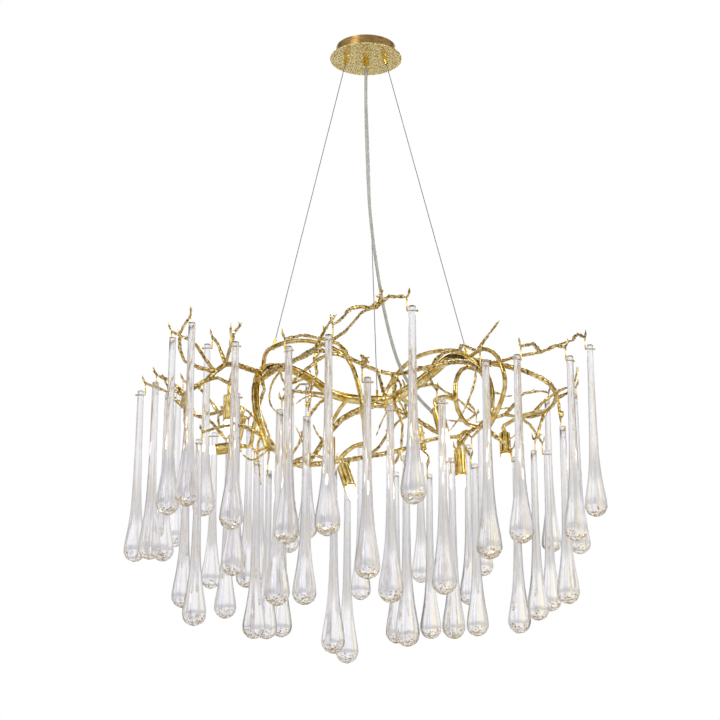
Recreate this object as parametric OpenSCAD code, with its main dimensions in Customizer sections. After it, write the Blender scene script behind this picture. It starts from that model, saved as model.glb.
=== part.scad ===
// Branch chandelier: a wreath of knotty brass branches hung on three steel cables
// from a round ceiling canopy, with solid glass drops on wire hooks all round it.
// The origin is where the canopy meets the ceiling. Z points up, +X is the viewer's right.

/* [Canopy] */
// Diameter of the textured canopy plate
plate_d = 126; // [115:1:150]
// Thickness of the canopy plate
plate_t = 2.5; // [2:0.5:4]
// Diameter of the canopy cup that meets the ceiling
cup_d = 104; // [98:1:112]
// Height of the canopy cup
cup_h = 20; // [18:1:30]
// Wall of the canopy cup
cup_wall = 1.2; // [1:0.2:2]
// Length of the ceiling bracket
bracket_l = 92; // [88:1:92]
// Width of the ceiling bracket
bracket_w = 20; // [16:1:26]
// Thickness of the ceiling bracket
bracket_t = 2; // [1.5:0.5:3]
// Distance between the two fixing slots of the bracket
slot_spacing = 70; // [64:1:72]
// Width of a fixing slot
slot_w = 5; // [4:0.5:6]
// Length of a fixing slot, end to end
slot_l = 13; // [10:1:14]
// Outer diameter of the threaded nipple in the middle
nipple_d = 8; // [7.8:0.2:9]
// Length of the cord gland below the plate
gland_l = 13; // [10:1:16]
// Length and width of the terminal block
terminal_l = 18; // [14:1:20]
// Height of the terminal block
terminal_h = 9; // [7:1:11]

/* [Suspension] */
// Height of the ceiling above the middle level of the branches
frame_drop = 600; // [500:10:1000]
// Radius at which the cable grippers sit on the plate
gripper_circle_r = 36; // [30:1:38]
// Diameter of a gripper body
gripper_d = 7.6; // [7:0.2:9]
// Length of a gripper body below its ball seat
gripper_l = 13; // [12:1:18]
// Diameter of the release collar of a gripper
collar_d = 5; // [4.6:0.2:5.4]
// Length of the release collar
collar_l = 8; // [7:0.5:9]
// Travel of the release collar
collar_travel = 1.5; // [1:0.5:2]
// Diameter of a suspension cable
cable_d = 1.5; // [1:0.1:2]
// Diameter of the power cord
cord_d = 5.6; // [5:0.2:6.2]

/* [Branches] */
// Diameter across the glass drops, which sets the spread of the branches
spread_d = 800; // [770:10:1000]
// Diameter of the main back limb at its thickest
limb_d = 18; // [14:1:20]
// Diameter of the thinner limbs at their root
side_limb_d = 11; // [9:1:13]
// Diameter of a twig where it leaves its limb
twig_root_d = 7.5; // [6:0.5:9]
// Diameter of a twig over its hook
twig_end_d = 4.6; // [4:0.2:6]
// Diameter of the smooth arched tubes
arch_d = 7; // [6:0.5:9]
// Length of the bare tip that a twig grows beyond its hook
tip_l = 16; // [12:1:26]

/* [Glass drops] */
// Length of a glass drop
drop_l = 282; // [240:1:300]
// Diameter of the bulb of a drop
bulb_d = 36; // [30:1:38]
// Diameter of the stem of a drop at its top
stem_d = 10.5; // [9:0.5:12]
// Height above the widest place of a drop at which its flare has halved
neck_l = 46; // [36:1:60]
// Depth of the cross hole below the top of a drop
hole_depth = 7; // [6:0.5:10]
// Diameter of the hook wire
wire_d = 2.2; // [1.8:0.1:2.4]
// Clearance round the hook wire in the cross hole of a drop
hook_gap = 0.1; // [0.1:0.05:0.4]
// Height of the twig over the top of its drop
hook_rise = 13; // [11:1:18]
// Swing of a drop to each side, in degrees
swing = 6; // [3:1:7]

/* [Lamps] */
// Outer diameter of a lamp sleeve
sleeve_d = 19; // [18:0.5:22]
// Length of a lamp sleeve
sleeve_l = 42; // [36:1:46]
// Wall of a lamp sleeve
sleeve_wall = 1; // [0.8:0.1:1.4]
// Diameter of the ceramic lamp holder
socket_d = 15; // [14:0.5:15.5]
// Length of the ceramic lamp holder
socket_l = 20; // [16:1:24]
// Diameter of the glass capsule of a lamp bulb
capsule_d = 12.5; // [11:0.5:14]
// Length of the glass capsule of a lamp bulb
capsule_l = 34; // [28:1:40]
// Diameter of the arm that carries a lamp sleeve
arm_d = 7; // [6:0.5:8]

/* [Hidden] */

gold = "goldenrod";
polished = "gold";
fine = 48;
fit_gap = 0.1;
loose_gap = 0.3;
hole_gap = 0.4;

// Plan scale of everything on the branches, and a point of the branches in the model's frame
plan = spread_d / 800;
function place(p) = [p.x * plan, p.y * plan, p.z - frame_drop];
function unit(v) = v / norm(v);
function flat(v) = unit([v.x, v.y, 0]);

// Smooth curve through control points, with a number of steps for each span
function span(a, b, c, d, t) =
    0.5 * (2 * b + (c - a) * t + (2 * a - 5 * b + 4 * c - d) * t * t
    + (3 * b - a - 3 * c + d) * t * t * t);
function curve(p, steps) = concat(
    [for (i = [0:len(p) - 2]) for (k = [0:steps - 1])
        span(p[max(i - 1, 0)], p[i], p[i + 1], p[min(i + 2, len(p) - 1)], k / steps)],
    [p[len(p) - 1]]
);

// Directions along a path, and one side direction for each ring that never twists
function tangents(p) = [for (i = [0:len(p) - 1])
    unit(p[min(i + 1, len(p) - 1)] - p[max(i - 1, 0)])];
function first_side(t) = abs(t.z) < 0.9 ? unit(cross(t, [0, 0, 1])) : unit(cross(t, [1, 0, 0]));
function side_dirs(t, done) = len(done) == len(t) ? done
    : let (now = t[len(done)], last = done[len(done) - 1])
    side_dirs(t, concat(done, [unit(last - (last * now) * now)]));

// Tube of changing radius along a path
module sweep(path, radii, sides) {
    t = tangents(path);
    a = side_dirs(t, [first_side(t[0])]);
    last = len(path) - 1;
    rings = [for (i = [0:last]) for (k = [0:sides - 1])
        let (b = cross(t[i], a[i]), turn = 360 * k / sides)
        path[i] + radii[i] * (cos(turn) * a[i] + sin(turn) * b)];
    walls = [for (i = [0:last - 1]) for (k = [0:sides - 1])
        let (m = (k + 1) % sides, low = i * sides, high = low + sides)
        each [[low + k, high + k, high + m], [low + k, high + m, low + m]]];
    caps = [for (k = [1:sides - 2])
        each [[0, k, k + 1], [last * sides, last * sides + k + 1, last * sides + k]]];
    polyhedron(rings, concat(walls, caps));
}

// Stands a child, made along +Z, at a point and turns it to a direction
module aim(at, dir) {
    tilt = acos(dir.z / norm(dir));
    turn = atan2(dir.y, dir.x);
    translate(at) rotate([0, tilt, turn]) children();
}

// Limbs, as points of the branches that the curve goes through
BACK_LIMB = [[-155, -90, -135], [-175, -60, -70], [-180, -20, -15], [-170, 30, 25], [-135, 80, 40],
    [-95, 120, 30], [-55, 150, 10], [-5, 170, 5], [40, 165, 5], [80, 140, 20], [115, 110, 40],
    [145, 70, 55], [170, 20, 40], [190, -20, 15], [200, -60, -35], [195, -80, -85], [190, -70, -115]];
LEFT_LIMB = [[-172, 20, 15], [-195, -35, 10], [-225, -80, 5], [-255, -105, -30], [-290, -80, -45],
    [-295, -15, -55], [-285, 50, -50], [-270, 110, -35], [-245, 145, -20]];
FRONT_LIMB = [[-179, -10, -8], [-140, -75, 0], [-95, -150, 0], [-70, -200, -5], [-25, -230, -25],
    [0, -240, -40], [40, -230, -50], [80, -220, -40], [120, -200, -25], [165, -125, -5], [197, -42, -12]];
RIGHT_LIMB = [[170, 20, 40], [205, -30, 20], [255, -75, -5], [295, -70, -25], [312, -15, -35],
    [305, 60, -40], [285, 130, -35], [245, 180, -20]];
LOWER_LIMB = [[-158, -80, -115], [-120, -40, -150], [-60, 0, -140], [0, 30, -125], [60, 45, -110],
    [110, 30, -95], [150, 10, -95], [182, -38, -88], [196, -76, -78]];
// Limb that rises from the lower one and passes under the back of the wreath
RISING_LIMB = [[-112, -34, -149], [-105, 24, -142], [-94, 78, -122], [-74, 108, -84], [-45, 115, -45],
    [-14, 118, -27], [17, 112, -18], [51, 100, -28], [91, 72, -56], [118, 44, -80], [136, 18, -94]];
// Sprays: thinner side limbs that reach out over the drops
FRONT_SPRAY = [[-118, -112, -2], [-92, -155, 4], [-63, -200, 6], [-31, -260, 8], [-6, -320, 20],
    [14, -342, 20]];
RIGHT_SPRAY = [[205, -30, 20], [219, -90, 8], [240, -150, 0], [268, -178, -2], [290, -165, 10],
    [305, -140, 22], [330, -105, 38]];
LEFT_SPRAY = [[-225, -80, 5], [-215, -130, 14], [-208, -175, 16]];
BACK = 0;
LEFT = 1;
FRONT = 2;
RIGHT = 3;
LOWER = 4;
FRONT_OUT = 5;
RIGHT_OUT = 6;
LEFT_OUT = 7;
RISING = 8;
LIMBS = [for (p = [BACK_LIMB, LEFT_LIMB, FRONT_LIMB, RIGHT_LIMB, LOWER_LIMB, FRONT_SPRAY,
    RIGHT_SPRAY, LEFT_SPRAY, RISING_LIMB]) curve([for (q = p) place(q)], 2)];
// Branch that each limb belongs to
BRANCH_OF = [BACK, LEFT, FRONT, RIGHT, LOWER, FRONT, RIGHT, LEFT, LOWER];

// Glass drops, as the middle of each top: first the pairs, then those that hang by themselves
PAIR_TOPS = [
    [[-305, -130, 35], [-265, -215, 35]], [[-110, -352, -40], [-52, -395, -35]],
    [[35, -300, -115], [110, -295, -103]], [[-125, -290, -118], [-90, -200, -108]],
    [[-50, -110, -172], [-30, 0, -180]], [[-165, 100, -135], [-145, 190, -125]],
    [[-335, 60, -12], [-335, -90, -28]], [[-230, 60, -105], [-290, -20, -95]],
    [[-205, 170, -43], [-190, 260, -33]], [[100, 300, -20], [210, 280, -10]],
    [[-255, -160, -135], [-175, -40, -145]], [[225, -250, -25], [310, -205, -15]],
    [[50, 60, -145], [110, 160, -130]], [[180, 40, -135], [242, -20, -135]],
    [[281, 60, -108], [315, -60, -93]], [[335, 290, 33], [368, 165, 14]],
    [[-140, 330, 38], [-105, 240, 50]]];
SINGLE_TOPS = [[-372, 0, -20], [-330, 160, 25], [-258, -55, 45], [-195, -250, -5], [2, -370, -90],
    [65, -385, 10], [170, -345, -60], [365, -50, 45], [-275, 260, -35], [-200, -150, -60],
    [-10, 260, -55], [60, -200, -168], [135, -80, -148], [180, 200, -70], [320, 200, -80]];
// Direction of each single drop's hook, in degrees from the viewer's right
SINGLE_TURN = [0, 0, 0, 0, 0, 0, 0, 0, 0, 0, 0, 0, 0, 0, 0];
PAIRS = len(PAIR_TOPS);
TOPS = [for (p = concat([for (q = PAIR_TOPS) each q], SINGLE_TOPS)) place(p)];

// Direction of a drop's hinge pin: along the line to the other drop of its pair
function pin_dir(i) = i < 2 * PAIRS
    ? unit(TOPS[i - i % 2 + 1] - TOPS[i - i % 2])
    : let (turn = SINGLE_TURN[i - 2 * PAIRS]) [cos(turn), sin(turn), 0];
function pin_at(i) = TOPS[i] - [0, 0, hole_depth];

// Limb that each drop's twig grows from, in the order of the tops
TWIG_LIMB = [LEFT, LEFT, FRONT, FRONT_OUT, FRONT, FRONT, FRONT, FRONT, LOWER, LOWER, BACK, BACK,
    LEFT, LEFT, LEFT, LEFT, LEFT, LEFT, BACK, BACK, LOWER, LOWER, RIGHT_OUT, RIGHT_OUT, LOWER, LOWER,
    LOWER, LOWER, RIGHT, RIGHT, RIGHT, RIGHT, BACK, BACK,
    LEFT, LEFT, LEFT, LEFT_OUT, FRONT, FRONT_OUT, FRONT, RIGHT_OUT, LEFT, LEFT, BACK, FRONT, LOWER, RIGHT,
    RIGHT];
// Points that some twigs go round by, to pass clear of the drops: the drop, then the points
TWIG_VIA = [[33, [-150, 235, 40]], [1, [-283, -148, -8], [-286, -192, 24]]];

function nearest(p, line) = let (d = [for (q = line) norm(q - p)], low = min(d))
    line[[for (i = [0:len(d) - 1]) if (d[i] == low) i][0]];
function root_of(i) = nearest(TOPS[i] + [0, 0, hook_rise], LIMBS[TWIG_LIMB[i]]);

// Hook of a drop: its post stands beside the stem, on the side that the twig comes from
post_gap = 1;
post_reach = stem_d / 2 + post_gap + wire_d / 2;
function hook_dir(i) = let (a = pin_dir(i)) a * (root_of(i) - TOPS[i]) < 0 ? -a : a;
function elbow_at(i) = pin_at(i) + post_reach * hook_dir(i);
function hook_top(i) = elbow_at(i) + [0, 0, hole_depth + hook_rise];

// A twig climbs from its limb, wanders, passes over its hook and ends in a bare tip
rise_share = 0.12;
sway_share = 0.06;
short_twig = 90;
tip_lean = 0.4;
function sway(i, k) = sin(i * 73 + k * 131);
function via_of(i) = [for (v = TWIG_VIA) if (v[0] == i) for (k = [1:len(v) - 1]) place(v[k])];
function twig_points(i) = let (
    root = root_of(i),
    top = hook_top(i),
    run = top - root,
    far = norm(run),
    up = [0, 0, rise_share * far],
    side = sway_share * far * unit(cross(run, [0.3, 0.2, 1])),
    via = via_of(i),
    ahead = unit([run.x, run.y, 0.02]),
    tip = top + tip_l * unit(tip_lean * ahead + [0, 0, 1]))
    len(via) > 0 ? concat([root], via, [top, tip])
    : far < short_twig ? [root, root + 0.5 * run + up + sway(i, 1) * side, top, tip]
    : [root, root + 0.25 * run + 0.8 * up + sway(i, 1) * side, root + 0.5 * run + up + sway(i, 2) * side,
        root + 0.76 * run + 0.7 * up + sway(i, 3) * side, top, tip];
function twig_path(i) = curve(twig_points(i), 2);

// Knotty taper: thick at the root, a swelling on every other ring, fine at the tip
knot = 1.2;
function taper(n, root, end, tip) = [for (i = [0:n - 1])
    let (s = i / (n - 1), r = i == 0 ? root : i == n - 1 ? tip : root + (end - root) * min(1, 1.3 * s))
    i % 2 == 1 ? r * knot : r];

module twig(i) {
    path = twig_path(i);
    sweep(path, taper(len(path), twig_root_d / 2, twig_end_d / 2, 0.9), 5);
}

// Small pointed bud on a twig
bud_l = 9;
bud_tip = 0.3;
module bud(at, dir, r) {
    hull() {
        translate(at) sphere(r, $fn = 5);
        translate(at + bud_l * dir) sphere(r * bud_tip, $fn = 5);
    }
}
module twig_bud(i) {
    path = twig_path(i);
    k = floor(len(path) / 2);
    along = unit(path[k + 1] - path[k]);
    bud(path[k], unit(0.7 * along + [sway(i, 4), sway(i, 5), 0.4]), twig_end_d * 0.55);
}

// Bare sprigs: the limb, the point that they start from and the points that they pass
SPRIGS = [[RIGHT, [172, 15, 40], [[185, -60, 40], [198, -95, 52], [213, -125, 66]]],
    [FRONT_OUT, [-85, -170, 0], [[-70, -190, 18], [-58, -205, 34], [-44, -215, 50]]],
    [FRONT_OUT, [0, -330, 20], [[16, -345, 28], [20, -348, 38], [26, -350, 46]]],
    [LEFT_OUT, [-210, -165, 16], [[-205, -185, 24], [-198, -195, 30], [-190, -205, 38]]],
    [RIGHT, [312, -15, -35], [[335, 10, -20], [350, 20, 5], [356, 25, 30]]],
    [LOWER, [0, 30, -125], [[20, -20, -120], [35, -70, -105], [30, -120, -112]]],
    [BACK, [40, 165, 5], [[60, 190, 20], [70, 210, 38], [66, 225, 58]]]];
module sprig(s) {
    points = concat([nearest(place(s[1]), LIMBS[s[0]])], [for (p = s[2]) place(p)]);
    path = curve(points, 2);
    sweep(path, taper(len(path), twig_root_d / 2, twig_end_d / 2, 0.9), 5);
    bud(path[3], unit(path[4] - path[3] + [sway(s[0], 2) * 8, 6, 2]), twig_end_d * 0.55);
    bud(path[5], unit(path[6] - path[5] + [-6, sway(s[0], 3) * 8, 2]), twig_end_d * 0.5);
}

// Radius along each limb, which swells and thins a little as a branch does
function limb_radius(l, s) = let (ripple = 1 + 0.06 * sin(900 * s))
    l == BACK ? limb_d / 2 * (0.5 + 0.5 * pow(sin(180 * s), 0.6)) * ripple
    : l == FRONT ? side_limb_d / 2 * (0.62 + 0.14 * abs(cos(180 * s))) * ripple
    : l == RISING ? side_limb_d / 2 * (0.62 + 0.38 * sin(180 * s)) * ripple
    : l >= FRONT_OUT ? (twig_root_d / 2 * (1 - s) + twig_end_d / 2 * s) * ripple
    : side_limb_d / 2 * (1 - 0.45 * s) * ripple;

// A branch is its limbs with the twigs, buds and sprigs that are welded to them
module branch(b) {
    for (l = [0:len(LIMBS) - 1]) if (BRANCH_OF[l] == b) {
        path = LIMBS[l];
        last = len(path) - 1;
        sweep(path, [for (i = [0:last]) limb_radius(l, i / last)], l < FRONT_OUT || l == RISING ? 8 : 6);
    }
    for (i = [0:len(TOPS) - 1]) if (BRANCH_OF[TWIG_LIMB[i]] == b) {
        twig(i);
        twig_bud(i);
    }
    for (s = SPRIGS) if (BRANCH_OF[s[0]] == b) sprig(s);
}
module back_branch() { color(gold) branch(BACK); }
module left_branch() { color(gold) branch(LEFT); }
module front_branch() { color(gold) branch(FRONT); }
module right_branch() { color(gold) branch(RIGHT); }
module lower_branch() { color(gold) branch(LOWER); }

// Smooth tubes that arch over the wreath and carry the leads
ARCHES = [
    [[-172, 20, 20], [-169, -6, 33], [-162, -38, 38], [-150, -69, 36], [-122, -110, 34], [-88, -150, 24],
        [-55, -180, 6], [-28, -195, -16], [-14, -200, -50], [-6, -195, -90], [-2, -170, -125],
        [0, -110, -146], [0, -40, -145], [-4, 26, -126]],
    [[30, 166, 8], [45, 110, 25], [60, 60, 33], [82, 30, 44], [106, 0, 46], [134, -20, 44],
        [157, -30, 38], [186, -16, 18]],
    [[171, 10, 38], [183, -60, 34], [196, -90, 26], [209, -110, 9], [217, -120, -19],
        [219, -110, -42], [209, -90, -73], [194, -75, -100]],
    [[192, -30, 4], [160, -100, -5], [144, -130, -26], [139, -140, -53], [143, -130, -82],
        [160, -86, -94], [182, -40, -88]],
    [[125, 22, -96], [131, 27, -80], [122, 33, -60], [108, 32, -46]]];
ARCH_PATHS = [for (p = ARCHES) curve([for (q = p) place(q)], 2)];
module arch_tubes() {
    color(polished) for (p = ARCH_PATHS) sweep(p, [for (q = p) arch_d / 2], 8);
}

// Anchors of the suspension cables: where they are welded on, left, right and back
ANCHORS = [[-150, -70, 34], [170, 12, 42], [20, 168, 6]];
CABLE_TURN = [206, 330, 90];
plate_under = -cup_h - plate_t;
function seat_at(j) = [gripper_circle_r * cos(CABLE_TURN[j]), gripper_circle_r * sin(CABLE_TURN[j]),
    plate_under];
function anchor_at(j) = place(ANCHORS[j]);
function cable_dir(j) = unit(anchor_at(j) - seat_at(j));
anchor_l = 16;
anchor_d = cable_d + 3;
anchor_grip = 8;
module cable_anchors() {
    color(polished) for (j = [0:2]) difference() {
        union() {
            aim(anchor_at(j), -cable_dir(j)) cylinder(h = anchor_l, d = anchor_d, $fn = fine);
            translate(anchor_at(j)) sphere(d = anchor_d + 2, $fn = fine);
        }
        aim(anchor_at(j) - (anchor_l - anchor_grip) * cable_dir(j), -cable_dir(j))
            cylinder(h = anchor_l, d = cable_d + fit_gap, $fn = fine);
    }
}

// Cable grippers: a domed seat on the plate, a body that points along its cable, a stud above
dome_d = gripper_d + 3;
stud_d = 6;
stud_over = 1;
nut_h = 3;
nut_d = 11;
stud_l = plate_t + cup_wall + nut_h + stud_over;
grip_start = 2;
collar_in = collar_l * 0.5;
cable_bore = cable_d + 2 * loose_gap;
module cable_gripper(j) {
    difference() {
        union() {
            difference() {
                union() {
                    translate(seat_at(j)) sphere(d = dome_d, $fn = fine);
                    aim(seat_at(j), cable_dir(j)) cylinder(h = gripper_l, d = gripper_d, $fn = fine);
                }
                translate(seat_at(j) - [dome_d, dome_d, 0]) cube(2 * dome_d);
            }
            translate(seat_at(j)) cylinder(h = stud_l, d = stud_d, $fn = fine);
        }
        aim(seat_at(j) + grip_start * cable_dir(j), cable_dir(j))
            cylinder(h = gripper_l, d = cable_bore, $fn = fine);
        aim(seat_at(j) + (gripper_l - collar_in - collar_travel - 1) * cable_dir(j), cable_dir(j))
            cylinder(h = gripper_l, d = collar_d + 2 * fit_gap, $fn = fine);
    }
}
module cable_grippers() { color(polished) for (j = [0:2]) cable_gripper(j); }

// Release collar: pushed up into its gripper, it frees the cable
flange_t = 1.5;
module gripper_collar(j) {
    color(polished) aim(seat_at(j) + (gripper_l - collar_in) * cable_dir(j), cable_dir(j)) difference() {
        union() {
            cylinder(h = collar_l, d = collar_d, $fn = fine);
            translate([0, 0, collar_l - flange_t]) cylinder(h = flange_t, d = collar_d + 1.4, $fn = fine);
        }
        translate([0, 0, -1]) cylinder(h = collar_l + 2, d = cable_bore, $fn = fine);
    }
}

module suspension_cable(j) {
    start = seat_at(j) + grip_start * cable_dir(j);
    end = anchor_at(j) - (anchor_l - anchor_grip) * cable_dir(j);
    color("silver") aim(start, cable_dir(j)) cylinder(h = norm(end - start), d = cable_d, $fn = fine);
}

// Nuts that hold the grippers to the canopy from inside
module gripper_nuts() {
    color("silver") for (j = [0:2]) translate([seat_at(j).x, seat_at(j).y, cup_wall - cup_h]) difference() {
        cylinder(h = nut_h, d = nut_d, $fn = 6);
        translate([0, 0, -1]) cylinder(h = nut_h + 2, d = stud_d + fit_gap, $fn = fine);
    }
}

// Ceiling bracket: a strap with two slots and a tapped boss for the nipple
boss_d = nipple_d + 7;
boss_h = 4;
module slot(w, l, h) {
    for (x = [-1, 1]) translate([x * (l - w) / 2, 0, -1]) cylinder(h = h + 2, d = w, $fn = fine);
    translate([-(l - w) / 2, -w / 2, -1]) cube([l - w, w, h + 2]);
}
module ceiling_bracket() {
    color("silver") translate([0, 0, -bracket_t]) difference() {
        union() {
            translate([-bracket_l / 2, -bracket_w / 2, 0]) cube([bracket_l, bracket_w, bracket_t]);
            translate([0, 0, -boss_h]) cylinder(h = boss_h, d = boss_d, $fn = fine);
        }
        for (x = [-1, 1]) translate([x * slot_spacing / 2, 0, 0]) slot(slot_w, slot_l, bracket_t);
        translate([0, 0, -boss_h - 1])
            cylinder(h = boss_h + bracket_t + 2, d = nipple_d + fit_gap, $fn = fine);
    }
}

// Threaded nipple: joins bracket and canopy, and lets the cord through
cord_bore = cord_d + hole_gap;
gland_d = nipple_d + 2;
gland_lip = 2;
nipple_end = plate_under - gland_l + gland_lip;
module threaded_nipple() {
    color(polished) difference() {
        translate([0, 0, nipple_end]) cylinder(h = -nipple_end, d = nipple_d, $fn = fine);
        translate([0, 0, nipple_end - 1]) cylinder(h = 2 - nipple_end, d = cord_bore, $fn = fine);
    }
}
module cord_gland() {
    color(polished) difference() {
        translate([0, 0, plate_under - gland_l]) cylinder(h = gland_l, d = gland_d, $fn = fine);
        translate([0, 0, nipple_end]) cylinder(h = gland_l, d = nipple_d + fit_gap, $fn = fine);
        translate([0, 0, plate_under - gland_l - 1]) cylinder(h = gland_l, d = cord_bore, $fn = fine);
    }
}

// Canopy cup, open towards the ceiling, with holes for the studs and the nipple
module canopy_holes(h) {
    for (j = [0:2]) translate([seat_at(j).x, seat_at(j).y, -1])
        cylinder(h = h + 2, d = stud_d + hole_gap, $fn = fine);
    translate([0, 0, -1]) cylinder(h = h + 2, d = nipple_d + hole_gap, $fn = fine);
}
module canopy_cup() {
    color(gold) translate([0, 0, -cup_h]) difference() {
        cylinder(h = cup_h, d = cup_d, $fn = 2 * fine);
        translate([0, 0, cup_wall]) cylinder(h = cup_h, d = cup_d - 2 * cup_wall, $fn = 2 * fine);
        canopy_holes(cup_wall);
    }
}
// Canopy plate: a thick disc with a rounded edge under the cup
module canopy_plate() {
    edge = plate_t / 2;
    color(polished) translate([0, 0, plate_under]) difference() {
        union() {
            cylinder(h = plate_t, d = plate_d - plate_t, $fn = 2 * fine);
            rotate_extrude($fn = 2 * fine) translate([plate_d / 2 - edge, edge]) circle(edge, $fn = fine);
        }
        canopy_holes(plate_t);
    }
}

// Terminal block under the bracket, with its row of wire holes and screw holes
poles = 3;
wire_hole_d = 3;
module terminal_block() {
    pitch = terminal_l / poles;
    color("ivory") translate([boss_d / 2 + 2, -terminal_l / 2, -bracket_t - terminal_h]) difference() {
        cube([terminal_l, terminal_l, terminal_h]);
        for (k = [0:poles - 1]) {
            translate([-1, (k + 0.5) * pitch, terminal_h / 2]) rotate([0, 90, 0])
                cylinder(h = terminal_l + 2, d = wire_hole_d, $fn = 24);
            for (x = [0.25, 0.75]) translate([x * terminal_l, (k + 0.5) * pitch, -1])
                cylinder(h = terminal_h / 2 + 1, d = wire_hole_d, $fn = 24);
        }
    }
}

// Power cord, hanging from the gland to its inlet tube on the branches
CORD_ROUTE = [[0, 0, -2], [0, 0, -20], [0, 0, -60], [0, 0, -120], [2, 0, -200], [6, 2, -290],
    [14, 6, -370], [26, 12, -450], [38, 16, -510], [52, 20, -560], [68, 24, -595], [88, 29, -625],
    [110, 32, -648]];
module power_cord() {
    path = curve(CORD_ROUTE, 2);
    color("gainsboro") sweep(path, [for (q = path) cord_d / 2], 8);
}

// Lamps: where the foot of each sleeve is, and the way it points
LAMPS = [[[-220, -60, -42], [0, 0, -1]], [[-205, 8, -112], [-1, 0.1, -0.1]],
    [[-35, -165, -178], [0.27, -0.41, -0.87]], [[152, -15, -122], [0.05, 0.1, -1]],
    [[232, 50, -82], [0, -0.3, -0.95]], [[110, -150, -85], [0.2, -0.3, -0.93]],
    [[-64, 195, -55], [0, 0.25, -0.97]], [[90, 185, -40], [0.2, 0.2, -0.95]],
    [[-215, 110, -40], [-0.2, 0.1, -0.97]]];
function foot(k) = place(LAMPS[k][0]);
function lamp_dir(k) = unit(LAMPS[k][1]);
last_lamp = len(LAMPS) - 1;
screw_d = 3;
base_w = 9;
base_t = 4.6;
base_l = 8;
sleeve_floor = 1.5 * sleeve_wall;
// Depth and diameter of the well in a holder that takes the screw's head
well_l = 4;
well_d = 5.6;
module sleeve_screw_hole(h) {
    translate([0, 0, -1]) cylinder(h = h + 2, d = screw_d + loose_gap, $fn = 24);
}

// Arms from the nearest limb or tube to the foot of each sleeve
arm_rise = 16;
arm_neck = 6;
arm_bow = 6;
ALL_LINES = [for (p = concat(LIMBS, ARCH_PATHS)) each p];
module lamp_arms() {
    color(polished) for (k = [0:last_lamp]) {
        above = foot(k) - arm_rise * lamp_dir(k);
        root = nearest(above, ALL_LINES);
        neck = foot(k) - arm_neck * lamp_dir(k);
        path = concat(curve([root, 0.5 * (root + above) + [0, 0, arm_bow], above, neck], 2), [foot(k)]);
        sweep(path, [for (q = path) arm_d / 2], 6);
    }
}
module lamp_sleeve() {
    difference() {
        cylinder(h = sleeve_l, d = sleeve_d, $fn = fine);
        translate([0, 0, sleeve_floor])
            cylinder(h = sleeve_l, d = sleeve_d - 2 * sleeve_wall, $fn = fine);
        sleeve_screw_hole(sleeve_floor);
    }
}
module lamp_sleeves() { color(polished) for (k = [0:last_lamp]) aim(foot(k), lamp_dir(k)) lamp_sleeve(); }

// Ceramic holders: a round block with a central screw hole and two pin holes
pin_spacing = 9;
contact_d = 1.1;
contact_l = 5;
pin_gap = 0.25;
pin_hole_l = contact_l + 2;
head_h = 2;
module lamp_socket() {
    translate([0, 0, sleeve_floor]) difference() {
        cylinder(h = socket_l, d = socket_d, $fn = fine);
        sleeve_screw_hole(socket_l);
        translate([0, 0, socket_l - well_l]) cylinder(h = well_l + 1, d = well_d, $fn = 24);
        for (x = [-0.5, 0.5]) translate([x * pin_spacing, 0, socket_l - pin_hole_l])
            cylinder(h = pin_hole_l + 1, d = contact_d + 2 * pin_gap, $fn = 24);
    }
}
module lamp_sockets() { color("ivory") for (k = [0:last_lamp]) aim(foot(k), lamp_dir(k)) lamp_socket(); }

// Screws that hold holder, sleeve and arm together
module socket_screws() {
    stem = sleeve_floor + socket_l - well_l;
    color("silver") for (k = [0:last_lamp]) aim(foot(k), lamp_dir(k)) {
        cylinder(h = stem, d = screw_d, $fn = 24);
        translate([0, 0, stem]) cylinder(h = head_h, d = well_d - hole_gap, $fn = 24);
    }
}

// Plug-in capsule bulbs: flat base with two pins and a round-ended glass capsule
module lamp_bulb() {
    translate([0, 0, sleeve_floor + socket_l]) {
        translate([-0.7 * base_w, -base_t / 2, 0]) cube([1.4 * base_w, base_t, base_l]);
        for (x = [-0.5, 0.5]) translate([x * pin_spacing, 0, -contact_l])
            cylinder(h = contact_l + 1, d = contact_d, $fn = 24);
        translate([0, 0, base_l]) rotate_extrude($fn = fine) difference() {
            union() {
                square([capsule_d / 2, capsule_l - capsule_d / 2]);
                translate([0, capsule_l - capsule_d / 2]) circle(capsule_d / 2, $fn = fine);
            }
            translate([-capsule_d, -1]) square([capsule_d, 2 * capsule_l]);
        }
    }
}
module lamp_bulbs() { color("lightyellow") for (k = [0:last_lamp]) aim(foot(k), lamp_dir(k)) lamp_bulb(); }

// Hooks: a post set a little way into the twig, and a pin through the post and the drop with a head
post_d = wire_d + 0.6;
pin_over = 1.5;
head_d = wire_d + 1.4;
head_t = 1.2;
post_seat = 1.2;
module drop_hook(i) {
    u = hook_dir(i);
    start = elbow_at(i) + (post_d / 2 + pin_over) * u;
    end = pin_at(i) - post_reach * u;
    foot_z = elbow_at(i) - [0, 0, post_d / 2 + pin_over];
    translate(foot_z) cylinder(h = hook_top(i).z - foot_z.z + post_seat, d = post_d, $fn = 24);
    aim(end, start - end) cylinder(h = norm(start - end), d = wire_d, $fn = 24);
    aim(end, start - end) cylinder(h = head_t, d = head_d, $fn = 24);
}
module drop_hooks() { color(polished) for (i = [0:len(TOPS) - 1]) drop_hook(i); }

// Outline of a drop from its top: a slender stem that flares into a round bulb
bulb_r = bulb_d / 2;
stem_r = stem_d / 2;
chamfer = 0.8;
neck_power = 1.8;
body_l = drop_l - bulb_r;
function fall(h) = 1 / (1 + pow(h / neck_l, neck_power));
function flare(h) = (fall(h) - fall(body_l)) / (1 - fall(body_l));
flare_steps = 16;
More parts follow.
